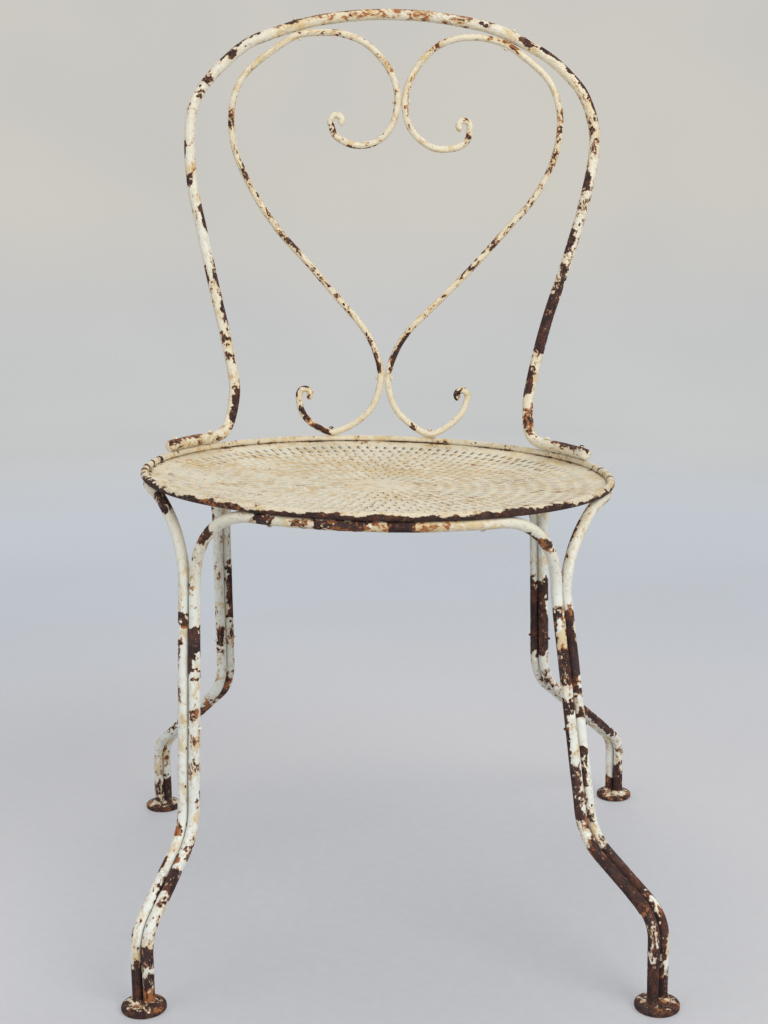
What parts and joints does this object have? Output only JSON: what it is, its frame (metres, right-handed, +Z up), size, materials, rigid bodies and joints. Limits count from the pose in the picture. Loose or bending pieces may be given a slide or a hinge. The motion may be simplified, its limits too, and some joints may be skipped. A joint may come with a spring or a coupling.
{
  "type": "wrought iron garden chair",
  "caption": "Round-seated garden chair bent from iron bar, with a slotted dished seat, a hoop back with two scrolls and bowed double legs on round pads; peeling paint over rust.",
  "frame": {"origin": "on the floor, at the middle of the ground that the four feet cover", "axes": "+Z up, front of the chair towards -Y, its back towards +Y, +X to the right as seen from the front"},
  "size_m": [0.5358, 0.5134, 0.8418],
  "materials": {
    "cream_paint": "old cream paint, chipped and freckled with dark rust",
    "white_paint": "old white paint, flaking off in large patches over dark rust",
    "rusted_iron": "dark brown rust with orange bloom",
    "bare_iron": "dark iron, never painted"
  },
  "bodies": {
    "root": {"seat_pan": "cream_paint", "seat_ring": "bare_iron", "front_leg_bow": "white_paint", "right_leg_bow": "white_paint", "rear_leg_bow": "white_paint", "left_leg_bow": "white_paint", "front_left_foot": "rusted_iron", "front_right_foot": "rusted_iron", "rear_right_foot": "rusted_iron", "rear_left_foot": "rusted_iron", "back_hoop": "cream_paint", "left_scroll": "cream_paint", "right_scroll": "cream_paint", "front_leg_bow_first_rivet": "rusted_iron", "front_leg_bow_second_rivet": "rusted_iron", "right_leg_bow_first_rivet": "rusted_iron", "right_leg_bow_second_rivet": "rusted_iron", "rear_leg_bow_first_rivet": "rusted_iron", "rear_leg_bow_second_rivet": "rusted_iron", "left_leg_bow_first_rivet": "rusted_iron", "left_leg_bow_second_rivet": "rusted_iron", "front_left_leg_rivet": "rusted_iron", "front_right_leg_rivet": "rusted_iron", "rear_right_leg_rivet": "rusted_iron", "rear_left_leg_rivet": "rusted_iron", "hoop_left_inner_rivet": "rusted_iron", "hoop_left_outer_rivet": "rusted_iron", "hoop_right_inner_rivet": "rusted_iron", "hoop_right_outer_rivet": "rusted_iron", "left_scroll_foot_rivet": "rusted_iron", "right_scroll_foot_rivet": "rusted_iron", "left_scroll_top_rivet": "rusted_iron", "right_scroll_top_rivet": "rusted_iron", "scroll_upper_rivet": "rusted_iron", "scroll_lower_rivet": "rusted_iron"}
  },
  "joints": []
}
